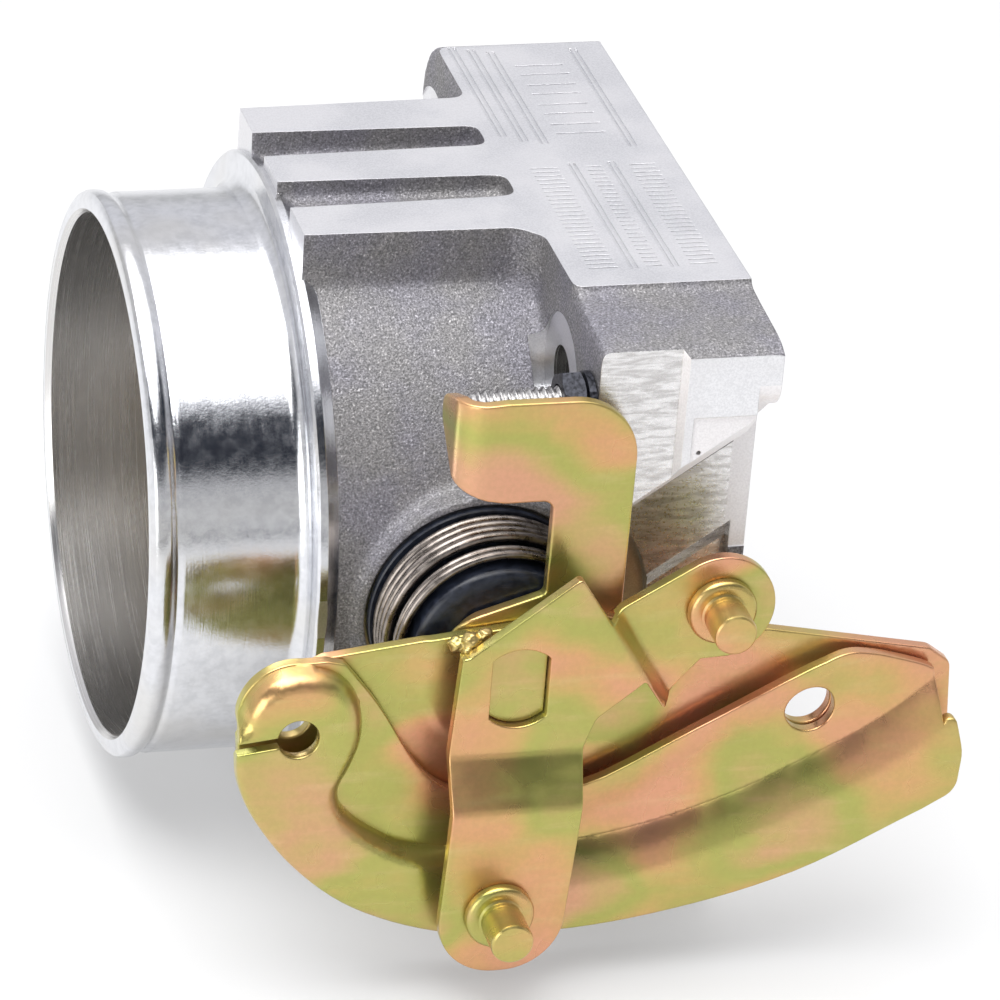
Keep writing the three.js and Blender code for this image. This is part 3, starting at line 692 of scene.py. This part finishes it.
def housing():
    body = casting()
    far = 90
    wide = (-far, far)
    tools = [
        block((-far, RIB_X), wide, wide, MILLED),
        block((0, far), wide, wide, MILLED),
        block(wide, wide, (TOP_Z, far), MILLED),
        block(wide, wide, (-far, -TOP_Z), MILLED),
        block(wide, (-far, -EAR_Y), wide, MILLED),
    ]
    pad_top = block((SHAFT_X - 30, FLANGE_X - 0.01), (FAR_PAD_Y, far), (-40, 40), MILLED)
    boolean(body, tools + [pad_top])
    r = NECK_R
    neck = [
        (0, -LENGTH), (r - 0.9, -LENGTH), (r - 0.3, -LENGTH + 0.25), (r + 0.2, -LENGTH + 0.6),
        (r + 0.45, -LENGTH + 1.1), (r + 0.5, -LENGTH + 1.8), (r + 0.42, -LENGTH + 2.5),
        (r + 0.15, -LENGTH + 3.0), (r - 0.15, -LENGTH + 3.4),
        (r - 0.3, -LENGTH + 3.8), (r - 0.22, -LENGTH + 4.3), (r, -LENGTH + 4.9), (r, SHOULDER_X - 2.2),
        (r + 0.3, SHOULDER_X - 1.2), (r + 1.0, SHOULDER_X - 0.4), (r + 2.0, SHOULDER_X),
        (SHOULDER_R - 0.4, SHOULDER_X), (SHOULDER_R, SHOULDER_X + 0.4), (SHOULDER_R, RIB_X + 0.3),
        (CAST_R - 0.2, RIB_X + 2.4), (30, RIB_X + 2.4),
        (0, RIB_X + 2.4),
    ]
    boolean(body, [lathe(neck, "x", segments=256, material=TURNED)], "UNION")
    bore = [
        (0, -LENGTH - 1), (MOUTH_R + 1.3, -LENGTH - 1), (MOUTH_R + 0.3, -LENGTH + 0.35),
        (MOUTH_R, -LENGTH + 0.9),
        (MOUTH_R, -66), (BORE_R + 0.6, -63.5), (BORE_R, -61), (BORE_R, -0.9), (BORE_R + 1.9, 1), (0, 1),
    ]
    tools = [lathe(bore, "x", segments=256, material=BORED)]
    for y in (-BOLT_Y, BOLT_Y):
        for z in (-BOLT_Z, BOLT_Z):
            tools.append(rod("x", BOLT_R, -57, 2, (y, z), 48, BORED))
            tools.append(rod("x", SPOT_R, FLANGE_X - 2.7, FLANGE_X + 0.25, (y, z), 72, MILLED))
    tools += [
        rod("y", SEAT_R, BOSS_Y - 2, -SEAT_Y, (SHAFT_X, 0), 96, BORED),
        rod("y", SEAT_R, SEAT_Y, FAR_PAD_Y + 2, (SHAFT_X, 0), 96, BORED),
        rod("y", SHAFT_R + 0.6, BOSS_Y - 2, FAR_PAD_Y + 2, (SHAFT_X, 0), 64, BORED),
        lathe([
            (0, BOSS_Y - 3), (BOSS_R + 6, BOSS_Y - 3), (BOSS_R + 6, BOSS_Y), (17.1, BOSS_Y),
            (17.1, BOSS_Y + 1.2), (0, BOSS_Y + 1.2),
        ], "y", (SHAFT_X, 0, 0), 96, MILLED),
        rod("x", STOP_R + 0.3, FLANGE_X - 2, FLANGE_X + 16, (STOP_Y, STOP_Z), 48, BORED),
        rod("y", SWING_R, -EAR_Y - 2, SWING_Y, (SHAFT_X, 0), 128, MILLED),
        rod("y", SPRING_ROOM_R, -49, BOSS_Y, (SHAFT_X, 0), 96, MILLED),
        *lever_clearance(),
    ]
    for z in (-SENSOR_HOLE_Z, SENSOR_HOLE_Z):
        tools.append(rod("y", SENSOR_HOLE_R, FAR_PAD_Y - 9, FAR_PAD_Y + 2, (SHAFT_X, z), 40, BORED))
    recess = [(FLANGE_X - 3, 48), (-14.3, 48), (-14.3, 10), (FLANGE_X - 3, 4)]
    tools.append(prism(recess, "y", -EAR_Y - 2, -EAR_Y + 1.85, MATTE, flare=1.3))
    tools.append(prism(recess, "y", -EAR_Y - 2, -EAR_Y + 1.9, ROUGH))
    boolean(body, tools + engraving())
    return finish_piece(body, "housing", "housing", "cast_aluminium", "throttle_housing", angle=28)


housing()


# ---- shaft group ----
def cad_material(material, *nodes):
    for n in nodes:
        mesh_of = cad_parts[n]
        mesh_of.data.materials.clear()
        mesh_of.data.materials.append(material)
        soften(mesh_of)


def soften(o):
    """A small true bevel on a CAD node's edges, as modifiers."""
    planar = o.modifiers.new("planar", "DECIMATE")
    planar.decimate_type = "DISSOLVE"
    planar.angle_limit = math.radians(1)
    m = o.modifiers.new("edges", "BEVEL")
    m.limit_method = "ANGLE"
    m.angle_limit = math.radians(40)
    m.width = 0.00015
    m.segments = 2
    n = o.modifiers.new("normals", "WEIGHTED_NORMAL")
    n.keep_sharp = True


cad_material(GOLD_PIN, "throttle_shaft")
cad_material(STEEL, "plate_screw_1", "plate_screw_2")
cad_material(BRASS, "throttle_plate")
cad_material(BLACK, "shaft_circlip")
cad_material(RUBBER, "front_shaft_seal", "rear_shaft_seal")
for side in ("front", "rear"):
    cad_material(RACE, *[f"{side}_bearing_{part}" for part in ("outer_race", "inner_race", "balls")])


# ---- springs, bushing ----
def tube(path, radius, sides=16):
    """A round wire along a path, closed at both ends."""
    path = np.array(path)
    tangent = np.gradient(path, axis=0)
    tangent /= np.linalg.norm(tangent, axis=1)[:, None]
    side = np.cross(tangent, [0, 1.0, 0])
    side /= np.linalg.norm(side, axis=1)[:, None]
    up = np.cross(side, tangent)
    angles = np.arange(sides) * 2 * math.pi / sides
    verts = [
        path[i] + radius * (math.cos(a) * side[i] + math.sin(a) * up[i])
        for i in range(len(path)) for a in angles
    ]
    faces = [tuple(range(sides)), tuple(range((len(path) - 1) * sides, len(path) * sides))[::-1]]
    for i in range(len(path) - 1):
        for k in range(sides):
            a, b = i * sides + k, i * sides + (k + 1) % sides
            faces.append((a, b, b + sides, a + sides))
    return verts, faces


def coil(name, node, wire, radius, start, turns, turned_by):
    t = np.linspace(0, 1, int(turns * 96))
    angle = turned_by + t * turns * 2 * math.pi
    pitch = wire * 2 + 0.12
    path = np.stack([SHAFT_X + radius * np.cos(angle), start - t * turns * pitch, radius * np.sin(angle)], 1)
    made = mesh_object(name, *tube(path, wire), SPRING)
    finish_piece(made, name, "housing", "steel", node, angle=50)


coil("return_spring_outer", "outer_return_spring", 0.75, 15.6, -48.4, 3.75, 0.6)
coil("return_spring_inner", "inner_return_spring", 0.65, 14.6, -55.3, 1.9, 0.3)

sleeve = [
    (SHAFT_R + 0.25, BOSS_Y + 1), (16.6, BOSS_Y + 1), (16.6, BOSS_Y - 0.4), (16.4, BOSS_Y - 0.6),
    (13.2, BOSS_Y - 0.6),
    (13.2, -58.4), (12.9, -58.9), (12.4, -59.3), (11.6, -59.55), (10.6, -59.6), (SHAFT_R + 0.25, -59.6),
]
bushing = lathe(sleeve, "y", (SHAFT_X, 0, 0), 128, NYLON, closed=True)
finish_piece(bushing, "bushing", "housing", "nylon", "spring_bushing")


# ---- levers: outlines in (x, z) from the shaft axis ----
def levelled(front, rise=None):
    """Places a flat outline at a front face level; rise(u, v) lifts it towards the viewer."""
    def place(u, v):
        up = rise(u, v) if rise else 0.0
        return np.stack([SHAFT_X + u, front - up + 0 * u, v], 1)
    return place


def double_d(width=FLAT + 0.2, radius=SHAFT_R + 0.2):
    limit = math.degrees(math.acos(width / radius))
    return arc((0, 0), radius, limit, 180 - limit) + arc((0, 0), radius, 180 + limit, 360 - limit)


def arm():
    """The hook: a flat arm whose upper end turns back a quarter turn about the stop screw's side."""
    start, radius = -4.7, 4.4 - SHEET / 2
    middle = radius * math.pi / 2

    def place(u, v):
        past = np.clip(start - u, 0, None)
        angle = np.clip(past / radius, 0, math.pi / 2)
        beyond = np.clip(past - middle, 0, None)
        r = 4.4
        x = np.where(past > 0, start - r * np.sin(angle), u)
        y = np.where(past > 0, ARM + r * (1 - np.cos(angle)) + beyond, ARM)
        return np.stack([SHAFT_X + x, y, v], 1)

    end = start - middle - 6.8
    outer = rounded([
        (16.3, 8, 1), (11, -11, 6), (-8.4, -9.5, 6), (-8.4, 6.4, 6), (4.9, 10.6, 1), (4.95, 25.4, 1.6),
        (-2, 25.4, 4),
        (start, 25.9, 4), (start - middle, 28, 3), (end, 34, 3), (end, 37.6, 2.5), (start - middle, 40.4, 4),
        (start + 2, 41, 8), (16.6, 40.9, 10.2),
    ])
    made = pressed("arm", outer, [double_d()], place, along_y=False, edge=0.35, step=0.7)
    made.data.materials.append(GOLD_ARM)
    finish_piece(made, "idle_arm", "throttle", "gold_zinc", "idle_stop_arm")


HEAD, HEAD_R = (-31.4, -3.9), 8.2
HOLE, HOLE_R = (-31.4, -5.9), 2.95
LEVER_HOLE = (44.4, -8.4)
RIGHT_CREASE = [
    (63.2, -4.2), (57.8, -8.8), (52.1, -12.6), (43.3, -17.1), (34.6, -21.2), (19.9, -25.9), (4, -28.0)
]
LEFT_CREASE = [
    (-8.6, -27.0), (-14.7, -25.6), (-19, -23.2), (-22, -20.9), (-24.1, -18.4), (-24.6, -15.6), (-23.2, -12.2),
    (-21.9, -8.2), (-21.8, -4.5), (-22.9, -0.6), (-25.2, 2.2), (-28.0, 3.55), (-31.4, 3.95), (-34.6, 3.25),
    (-37.4, 1.1), (-39.0, -1.9), (-39.6, -3.6), (-43.0, -4.4),
]
RIM_EDGE = [
    (-40.05, -8.8), (-39.6, -12.6), (-37.5, -18), (-31, -27.1), (-22, -34.6), (-9.4, -39.4), (8, -40.6),
    (25.6, -38.5), (43.4, -33.7), (62.0, -24.6),
]
QUADRANT_END = [(62.0, -24.6), (66.8, -21.8, 3.5), (67.2, -15.5, 8), (64.6, -5.9, 1.5)]
SLOT_HALF, SLOT_TILT = 0.78, 188  # half the cable slot's width, and the direction it leaves the hole in


def slot_in_head():
    """The way round the barrel hole, from one side of the cable slot to the other."""
    reach = math.degrees(math.asin(SLOT_HALF / HOLE_R))
    return arc(HOLE, HOLE_R, SLOT_TILT - reach, SLOT_TILT + reach - 360)


def beside(line, offset, step=0.6):
    """A line drawn at an offset to the left of another, its points about one step apart."""
    along = np.concatenate([[0.0], np.cumsum(np.hypot(*np.diff(line, axis=0).T))])
    at = np.arange(0, along[-1], step)
    points = np.stack([np.interp(at, along, line[:, 0]), np.interp(at, along, line[:, 1])], 1)
    tangent = np.gradient(points, axis=0)
    tangent /= np.linalg.norm(tangent, axis=1)[:, None]
    return points + offset * np.stack([-tangent[:, 1], tangent[:, 0]], 1)


RIM_RISE = 3.5  # the quadrant's rim and head stand this far in front of its web
ROLL = 2.8  # width of the rounded wall round the quadrant's head
WALL_STEPS = (0.0, 0.1, 0.32, 0.7, 1.2, 1.9, 2.6)


def quarter_round(d, width):
    """0 at d = 0 rising steeply, then rounding over to 1 at d = width."""
    return np.sqrt(1 - (1 - np.clip(d / width, 0, 1)) ** 2)


def cheek():
    crease = np.array(smooth_line([(68.5, 1.2)] + RIGHT_CREASE + LEFT_CREASE, 5))
    region = np.array([*crease, (-58, -4.4), (-58, -60), (90, -60), (90, 1.2)])
    rim = np.array(smooth_line(RIM_EDGE, 6))
    # the right end's long flank: steepness against distance from the crease
    across = np.linspace(0, 8, 161)
    steepness = np.interp(across, [0, 0.5, 3, 5, 7, 8], [0.90, 0.70, 0.50, 0.34, 0.12, 0.0])
    each = (steepness[1:] + steepness[:-1]) / 2 * (across[1] - across[0])
    flank = np.concatenate([[0.0], np.cumsum(each)])
    flank *= RIM_RISE / flank[-1]

    def rise(u, v):
        p = np.stack([u, v], 1)
        d = distance(p, crease, closed=False) * np.where(inside(p, region), 1, -1)
        gentle = np.clip((u + 14) / 12, 0, 1)
        gentle = gentle * gentle * (3 - 2 * gentle)
        steep = RIM_RISE * quarter_round(d, ROLL)
        edge = distance(p, rim, closed=False)
        left = np.clip((-6 - u) / 12, 0, 1)
        roll = 0.9 * left * (1 - quarter_round(edge, 1.3))
        sprung = np.clip(1 - distance(p, free_edge, closed=False) / 7, 0, 1)
        sprung *= sprung * (3 - 2 * sprung)
        sprung *= np.clip((u - 2) / 12, 0, 1) * np.clip((56 - u) / 10, 0, 1)
        return steep + (np.interp(d, across, flank) - steep) * gentle - roll + 1.25 * sprung

    # this length of the upper edge stands a little off the plate behind
    free_edge = np.array([(49.6, 0.75), (46.6, 0.1), (27.9, -9.5), (11.6, -17.9), (1.5, -20.4)])
    left_side = [
        (HEAD[0] + HEAD_R * math.cos(a), HEAD[1] + HEAD_R * math.sin(a)) for a in np.radians(range(76, 181, 6))
    ]
    upper = smooth_line([
        (62.6, -3.2), (61.1, -2.4), (52.6, 0.2), (49.6, 0.75), (46.6, 0.1), (27.9, -9.5), (11.6, -17.9),
        (1.5, -20.4), (-8.6, -17.5), (-13.2, -13.2), (-19.3, -3.2), (-24.4, 3.6),
    ], 5)
    outer = (
        smooth_line(RIM_EDGE, 6) + rounded(QUADRANT_END)[1:] + upper + [(-27.0, 4.3)] + left_side[1:]
        + [(-39.9, -6.2)] + slot_in_head() + [(-40.05, -7.8)]
    )
    hole = arc(LEVER_HOLE, 3.7, 0, 352, 8)
    creases = [beside(crease, offset) for offset in WALL_STEPS]
    creases += [beside(rim[rim[:, 0] < -4], offset) for offset in (0.55, 0.9, 1.3)]
    made = pressed("cheek", outer, [hole], levelled(WEB, rise), step=0.62, edge=0.3, creases=creases)
    made.data.materials.append(GOLD)
    finish_piece(made, "quadrant_cheek", "throttle", "gold_zinc", "cable_quadrant_cheek", angle=50)


def rear_plate():
    edge_line = smooth_line([(x * 0.968, z * 0.968) for x, z in RIM_EDGE], 6)
    top = [
        (66.4, -12.0, 6), (65.8, -3.6, 2), (62.5, -1.1, 2.5), (38, 3.7), (22, 4.6), (12, 8, 4), (-7, 6, 2),
        (-27, 3.5), *arc((HEAD[0] + 0.9, HEAD[1] - 1.3), 7.4, 84, 190),
    ]
    outer = edge_line + rounded([(60.6, -24.2), (66.4, -21.2, 3), *top, edge_line[0]])[1:-1]

    def rise(u, v):
        r = np.hypot(u, v)
        return 0.3 * ramp(13.6 - r, 0.9, 0.3) - 0.3

    holes = [double_d(), arc(LEVER_HOLE, 3.7, 0, 352, 8), arc(HOLE, HOLE_R, 0, 352, 8)]
    made = pressed("rear", outer, holes, levelled(REAR, rise), step=0.8, edge=0.3)
    made.data.materials.append(GOLD)
    finish_piece(made, "lever_plate", "throttle", "gold_zinc", "rear_lever_plate")


UPPER_PIN, LOWER_PIN = (29.5, 9.0), (-2.0, -33.6)


def bracket():
    outer = rounded([
        (-9.7, 4.9, 1), (-7.5, 5.4, 1), (-3.3, 8.6, 3), (7.8, 17, 0.7), (12.9, 9.0, 0.5), (15.0, 9.5, 0.5),
    ])
    outer += arc(UPPER_PIN, 8.1, 118, -78)
    outer += rounded([
        (27.3, 0.9), (22.6, -4.4, 0.6), (21.4, -4.9, 0.6), (18.4, -0.3, 0.4), (11.6, -5.8, 2.5),
        (10.0, -10.2, 0.8),
        (9.2, -18), (7.3, -43.4, 8.7), (-10.9, -43.4, 8.7), (-9.7, -17.6), (-9.6, -10.2),
    ])

    def rise(u, v):
        past = (u - 8.3) * 0.849 + (v - 17) * 0.528
        ear_drop = 3.5 * ramp(past + 0.2, 1.7, 0.35)
        fold = 5.0 * ramp(-10.4 - v, 6.8, 0.7)
        return 3.5 - ear_drop + fold

    made = pressed("bracket", outer, [double_d()], levelled(WEB, rise), step=0.6, edge=0.28)
    made.data.materials.append(GOLD_BRACKET)
    finish_piece(made, "pin_strap", "throttle", "gold_zinc", "pin_bracket", angle=50)


def pin(name, node, at, face, length):
    out = face - 0.15
    profile = [
        (0, face + 2.1), (2.2, face + 2.1), (2.2, out), (4.8, out), (5.0, out - 0.2), (5.0, out - 1.0),
        (4.8, out - 1.35), (4.4, out - 1.65), (4.0, out - 1.7), (3.3, out - 1.7), (3.0, out - 1.9),
        (2.88, out - 2.4), (3.0, out - 2.9), (3.1, out - 3.1), (3.1, out - length + 0.55),
        (3.0, out - length + 0.2), (2.75, out - length), (1.2, out - length + 0.05), (0, out - length + 0.05),
    ]
    made = lathe(profile, "y", (SHAFT_X + at[0], 0, at[1]), 72, GOLD_PIN)
    finish_piece(made, name, "throttle", "gold_zinc", node)


def weld():
    """Small lumps of weld, run together, where the strap meets the lever plate's top edge."""
    lumps = []
    for x, y, z, r in (
        (-8.6, -65.6, 5.6, 1.25), (-6.7, -66.2, 6.3, 1.45), (-4.6, -65.9, 6.9, 1.15), (-7.4, -67.2, 5.2, 0.9),
    ):
        side = [(r * math.sin(a), -r * math.cos(a)) for a in np.linspace(0.15, math.pi - 0.15, 14)]
        lumps.append(lathe([(0, -r), *side, (0, r)], "x", (SHAFT_X + x, y, z), 24))
    bead = join_loose("weld", lumps)
    bead.data.materials.append(GOLD_PIN)
    remesh = bead.modifiers.new("remesh", "REMESH")
    remesh.mode, remesh.voxel_size = "VOXEL", 0.16
    smooth = bead.modifiers.new("smooth", "SMOOTH")
    smooth.iterations = 3
    evaluated(bead)
    co = np.array([v.co for v in bead.data.vertices])
    wave = 0.12 * np.sin(co[:, 0] * 3.1) * np.cos(co[:, 2] * 3.7 + co[:, 1] * 2.3)
    co += np.array([v.normal for v in bead.data.vertices]) * wave[:, None]
    bead.data.vertices.foreach_set("co", co.ravel())
    finish_piece(bead, "strap_weld", "throttle", "gold_zinc", angle=80)


arm()
cheek()
rear_plate()
bracket()
weld()
pin("link_pin_upper", "upper_link_pin", UPPER_PIN, WEB, 7.9)
pin("link_pin_lower", "lower_link_pin", LOWER_PIN, STRIP, 8.4)


# ---- idle stop screw ----
def stop_screw():
    turns = int((FLANGE_X + 12 - STOP_TIP_X - 2) / STOP_PITCH)
    profile = [(0, STOP_TIP_X), (STOP_R - 0.8, STOP_TIP_X), (STOP_R - 0.4, STOP_TIP_X + 0.5)]
    for i in range(turns):
        along = STOP_TIP_X + 1 + i * STOP_PITCH
        profile += [
            (STOP_R - 0.45, along), (STOP_R - 0.45, along + 0.1), (STOP_R - 0.02, along + 0.47),
            (STOP_R, along + 0.53), (STOP_R - 0.02, along + 0.6), (STOP_R - 0.45, along + 0.96),
        ]
    end = profile[-1][1]
    profile += [(STOP_R - 0.45, end + 1), (0, end + 1)]
    made = lathe(profile, "x", (0, STOP_Y, STOP_Z), 48, THREAD)
    finish_piece(made, "idle_screw", "stop_screw", "steel", "idle_stop_screw")


stop_screw()
cad_material(BLACK, "stop_screw_washer")


def lock_nut():
    corner_r = NUT_FLATS / math.sqrt(3)
    corners = arc((STOP_Y, STOP_Z), corner_r, 30, 330, 60)
    nut = prism(corners, "x", NUT_TIP, NUT_FOOT, BLACK)
    round_off = [
        (0, NUT_TIP - 0.2), (3.7, NUT_TIP - 0.2), (3.95, NUT_TIP), (4.7, NUT_TIP + 0.45),
        (4.7, NUT_FOOT - 0.45),
        (3.95, NUT_FOOT), (0, NUT_FOOT + 0.2),
    ]
    boolean(nut, [lathe(round_off, "x", (0, STOP_Y, STOP_Z), 96, BLACK)], "INTERSECT")
    boolean(nut, [rod("x", STOP_R + 0.25, -32, -26, (STOP_Y, STOP_Z), 48, BLACK)])
    finish_piece(nut, "lock_nut", "housing", "black_oxide", "stop_screw_lock_nut")


lock_nut()


# ---- studio ----
def studio_world():
    world = bpy.data.worlds.new("studio")
    bpy.context.scene.world = world
    world.use_nodes = True
    tree = world.node_tree
    tree.nodes.clear()
    new, link = tree.nodes.new, tree.links.new
    out = new("ShaderNodeOutputWorld")
    direction = new("ShaderNodeTexCoord")
    split = new("ShaderNodeSeparateXYZ")
    link(direction.outputs["Generated"], split.inputs[0])

    def height_ramp(*stops):
        shift = new("ShaderNodeMath")
        shift.operation = "MULTIPLY_ADD"
        shift.inputs[1].default_value = 0.5
        shift.inputs[2].default_value = 0.5
        link(split.outputs["Z"], shift.inputs[0])
        node = new("ShaderNodeValToRGB")
        elements = node.color_ramp.elements
        while len(elements) < len(stops):
            elements.new(0.5)
        for element, (elevation, colour) in zip(elements, stops):
            element.position = 0.5 + 0.5 * math.sin(math.radians(elevation))
            element.color = (*colour, 1)
        link(shift.outputs[0], node.inputs[0])
        return node.outputs[0]

    front = height_ramp(
        (-40, (0.55, 0.53, 0.5)), (-8, (0.5, 0.48, 0.46)), (-6, (0.26, 0.25, 0.24)), (1, (0.20, 0.20, 0.21)),
        (4, (0.8, 0.8, 0.8)), (9, (0.62, 0.61, 0.6)), (22, (0.58, 0.58, 0.59)), (26, (0.016, 0.02, 0.032)),
        (50, (0.016, 0.02, 0.032)), (57, (1.9, 1.9, 1.95)), (90, (2.2, 2.2, 2.2)),
    )
    back = height_ramp(
        (-20, (0.4, 0.4, 0.4)), (0, (0.55, 0.55, 0.55)), (16, (0.74, 0.74, 0.77)), (50, (0.78, 0.78, 0.82)),
        (56, (2.0, 2.0, 2.05)), (90, (2.2, 2.2, 2.2)),
    )
    side = new("ShaderNodeMapRange")
    side.interpolation_type = "SMOOTHSTEP"
    side.inputs[1].default_value, side.inputs[2].default_value = -0.25, 0.15
    link(split.outputs["Y"], side.inputs[0])
    blend = new("ShaderNodeMix")
    blend.data_type = "RGBA"
    link(side.outputs[0], blend.inputs["Factor"])
    colours = [s for s in blend.inputs if s.type == "RGBA"]
    link(front, colours[0])
    link(back, colours[1])
    lit = new("ShaderNodeBackground")
    link(next(s for s in blend.outputs if s.type == "RGBA"), lit.inputs[0])
    plain = new("ShaderNodeBackground")
    plain.inputs[0].default_value = (1, 1, 1, 1)
    plain.inputs[1].default_value = 1.0
    seen = new("ShaderNodeLightPath")
    choose = new("ShaderNodeMixShader")
    link(seen.outputs["Is Camera Ray"], choose.inputs[0])
    link(lit.outputs[0], choose.inputs[1])
    link(plain.outputs[0], choose.inputs[2])
    link(choose.outputs[0], out.inputs[0])


def area_light(name, place, target, size, power, colour=(1, 1, 1)):
    data = bpy.data.lights.new(name, "AREA")
    data.shape = "RECTANGLE"
    data.size, data.size_y = size
    data.energy = power
    data.color = colour
    o = bpy.data.objects.new(name, data)
    o.location = place
    o.rotation_euler = (Vector(target) - Vector(place)).to_track_quat("-Z", "Y").to_euler()
    bpy.context.scene.collection.objects.link(o)


def floor():
    p = Paint("floor", 0.0, 0.6)
    haze = p.noise(0.004, 2.0)
    paint = p.done(p.ramp(haze, (0.4, (0.38, 0.38, 0.38)), (0.6, (0.41, 0.41, 0.41))))
    p.bsdf.inputs["Emission Color"].default_value = (1, 1, 1, 1)
    p.bsdf.inputs["Emission Strength"].default_value = 0.36
    level = -TOP_Z / 1000 - 0.0003
    size = 3.0
    corners = [(x * size, y * size, level) for x, y in ((-1, -1), (1, -1), (1, 1), (-1, 1))]
    mesh = bpy.data.meshes.new("floor")
    mesh.from_pydata(corners, [], [(0, 1, 2, 3)])
    mesh.materials.append(paint)
    o = bpy.data.objects.new("floor", mesh)
    bpy.context.scene.collection.objects.link(o)


studio_world()
floor()
area_light("overhead", (-0.25, -0.15, 0.9), (-0.04, 0, 0), (0.9, 0.7), 9.0)
area_light("fill", (-0.7, -0.5, 0.15), (-0.04, -0.03, 0), (0.5, 0.4), 2.0)

# the camera, in metres: a long lens, above and to the left of the lever side
CAMERA_AT = (-0.251875, -0.771605, 0.420944)
CAMERA_RIGHT = Vector((0.96611, -0.24783, 0.07221))
CAMERA_UP = Vector((0.05552, 0.47269, 0.87948))
CAMERA_LOOK = Vector((0.25209, 0.84566, -0.47043))
camera_data = bpy.data.cameras.new("camera")
camera_data.sensor_width = 36
camera_data.lens = 217.71
camera_data.clip_end = 20
camera = bpy.data.objects.new("camera", camera_data)
axes = Matrix((CAMERA_RIGHT, CAMERA_UP, -CAMERA_LOOK)).transposed().to_4x4()
camera.matrix_world = Matrix.Translation(CAMERA_AT) @ axes
bpy.context.scene.collection.objects.link(camera)
bpy.context.scene.camera = camera
bpy.context.scene.view_settings.view_transform = "Standard"
